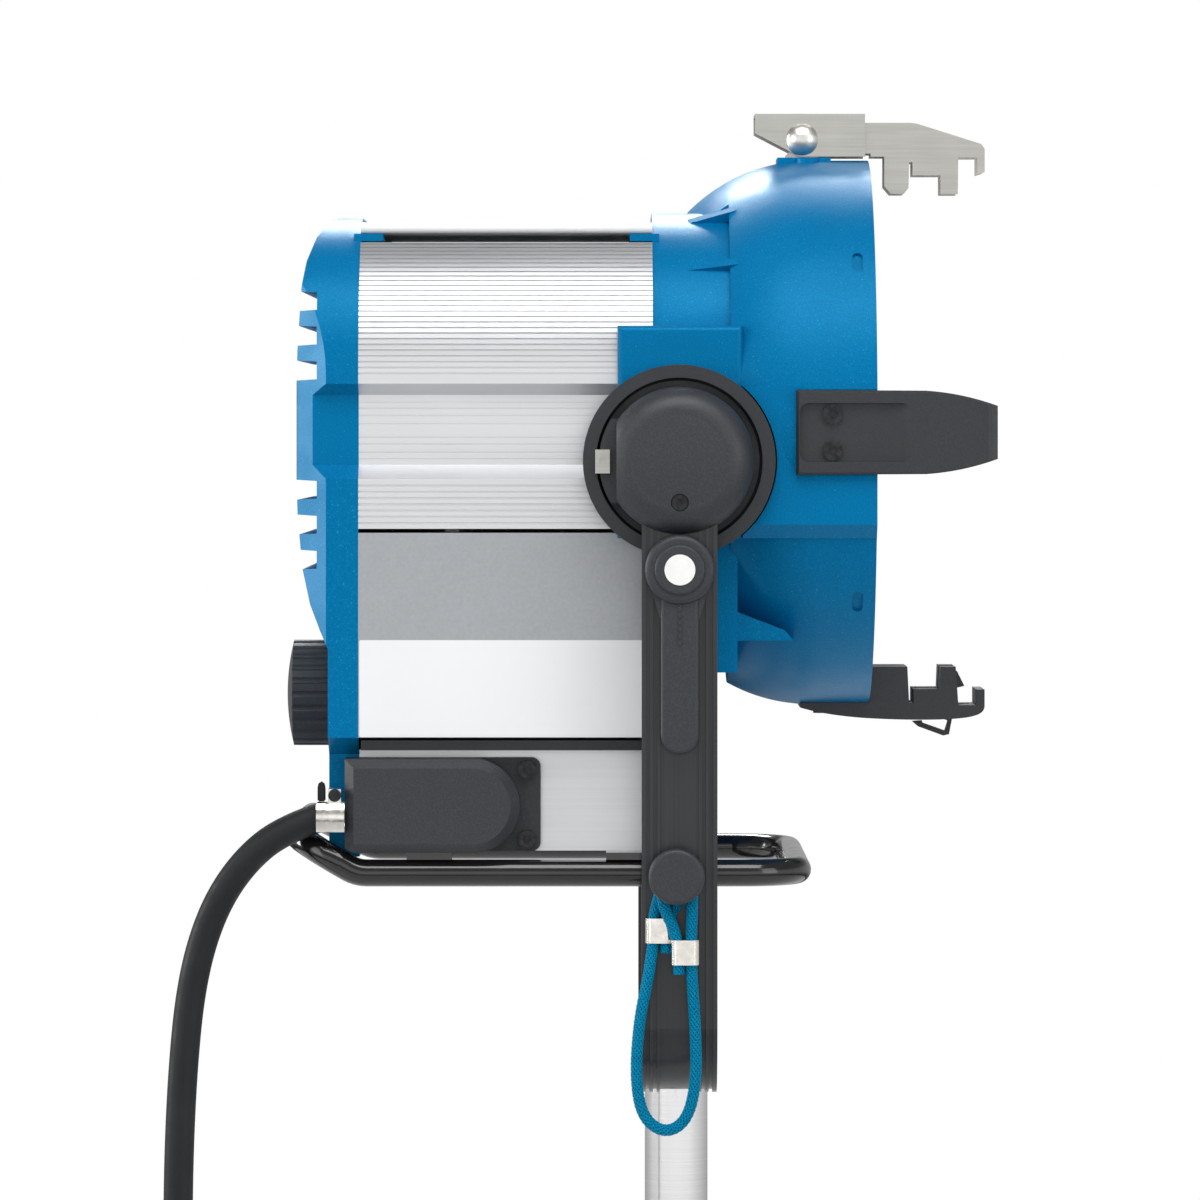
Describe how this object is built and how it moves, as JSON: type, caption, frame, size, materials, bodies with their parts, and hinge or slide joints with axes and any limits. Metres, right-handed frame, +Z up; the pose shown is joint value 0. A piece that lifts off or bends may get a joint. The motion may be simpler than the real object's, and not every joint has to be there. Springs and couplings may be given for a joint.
{
  "type": "studio fresnel spotlight",
  "caption": "Studio spotlight head with a stepped front lens, tilting in a U-shaped yoke on a stand spigot, with a focus knob, accessory holders and a skid frame.",
  "frame": {"origin": "on the spigot's axis, where the spigot enters the stand's receiver, 13 mm below the yoke's cross-piece", "axes": "+X towards the lamp's front, along the beam; +Z up along the spigot; +Y to the lamp's left-hand side"},
  "size_m": [0.3846, 0.308, 0.8756],
  "materials": {
    "blue_enamel": "speckled satin",
    "profile_silver": "anodised satin",
    "panel_grey": "satin",
    "cover_white": "satin",
    "black_paint": "semi-matt",
    "black_steel": "gloss",
    "black_plastic": "fine texture",
    "white_plastic": "gloss",
    "steel": "satin",
    "bright_steel": "polished",
    "reflector_mirror": "polished",
    "lens_glass": "clear",
    "silicone": "matt",
    "ceramic": "satin",
    "black_rubber": "matt",
    "blue_braid": "braided"
  },
  "bodies": {
    "yoke": {"yoke_frame": "black_paint", "spigot": "bright_steel", "spigot_bolt": "steel", "pivot_cover_left": "black_plastic", "pivot_cover_right": "black_plastic", "pivot_cover_screws": "steel", "pivot_bolts": "steel", "tilt_index_blocks": "steel", "tilt_brake": "steel", "strap_post": "black_plastic", "strap_ferrules": "steel", "strap_cord": "blue_braid"},
    "lock_lever": {"lock_lever": "black_plastic", "lever_insert": "white_plastic"},
    "head": {"front_housing": "blue_enamel", "rear_cap": "blue_enamel", "side_profile_left": "profile_silver", "side_profile_right": "profile_silver", "side_panel_left": "panel_grey", "side_panel_right": "panel_grey", "top_cover": "cover_white", "vent_baffle": "black_paint", "floor_plate": "black_paint", "lower_front_cover": "panel_grey", "ignitor_housing": "profile_silver", "ignitor_module": "black_plastic", "connection_cover": "black_plastic", "case_screws": "steel", "cable_gland": "steel", "skid_frame": "black_steel", "skid_straps": "black_steel", "reflector": "reflector_mirror", "lens_holder": "profile_silver", "lens_gasket": "silicone", "fresnel_lens": "lens_glass", "lens_retaining_ring": "profile_silver", "guide_rods": "steel", "shaft_bushes": "steel", "brake_disc_left": "black_paint", "brake_disc_right": "black_paint", "side_bracket_left": "black_paint", "side_bracket_right": "black_paint", "bracket_fixings": "steel", "bottom_bracket": "black_paint", "top_latch_base": "steel"},
    "focus_knob": {"focus_knob": "black_plastic", "focus_shaft": "steel"},
    "lamp_carriage": {"lamp_carriage": "profile_silver", "lamp_socket": "ceramic", "lamp_base": "ceramic", "lamp_envelope": "lens_glass"},
    "top_latch": {"top_latch_channel": "steel", "top_latch_arm": "steel", "top_latch_rivet": "bright_steel"},
    "bottom_catch": {"bottom_catch": "black_steel"},
    "cable_tail": {"head_cable": "black_rubber", "connector_boot": "black_rubber", "connector_shell": "black_plastic", "connector_ring": "bright_steel", "connector_insert": "ceramic"}
  },
  "joints": [
    {"name": "tilt", "type": "hinge", "parent": "yoke", "child": "head", "pos_m": [0, 0, 0.2905], "axis": [0, 1, 0], "range_deg": [-90, 90], "deforming": ["head_cable"]},
    {"name": "lever_turn", "type": "hinge", "parent": "yoke", "child": "lock_lever", "pos_m": [0, -0.142, 0.2433], "axis": [0, -1, 0], "range_deg": [0, 90]},
    {"name": "focus_turn", "type": "hinge", "parent": "head", "child": "focus_knob", "pos_m": [-0.165, 0, 0.1845], "axis": [1, 0, 0], "range_deg": [0, 900]},
    {"name": "lamp_slide", "type": "slide", "parent": "head", "child": "lamp_carriage", "axis": [1, 0, 0], "range_m": [0, 0.03]},
    {"name": "latch_lift", "type": "hinge", "parent": "head", "child": "top_latch", "pos_m": [0.057, 0, 0.4359], "axis": [0, -1, 0], "range_deg": [0, 30]},
    {"name": "catch_release", "type": "hinge", "parent": "head", "child": "bottom_catch", "pos_m": [0.1235, 0, 0.178], "axis": [0, -1, 0], "range_deg": [0, 12], "stiffness_Nm_per_rad": 0.08},
    {"name": "cable_swing", "type": "hinge", "parent": "head", "child": "cable_tail", "pos_m": [-0.16, -0.1035, 0.1329], "axis": [0, 1, 0], "range_deg": [-90, 90], "deforming": ["head_cable"]}
  ],
  "couplings": [
    {"joint": "lamp_slide", "follows": "focus_turn", "m_per_rad": 0.0019098},
    {"joint": "cable_swing", "follows": "tilt", "ratio": -1}
  ]
}
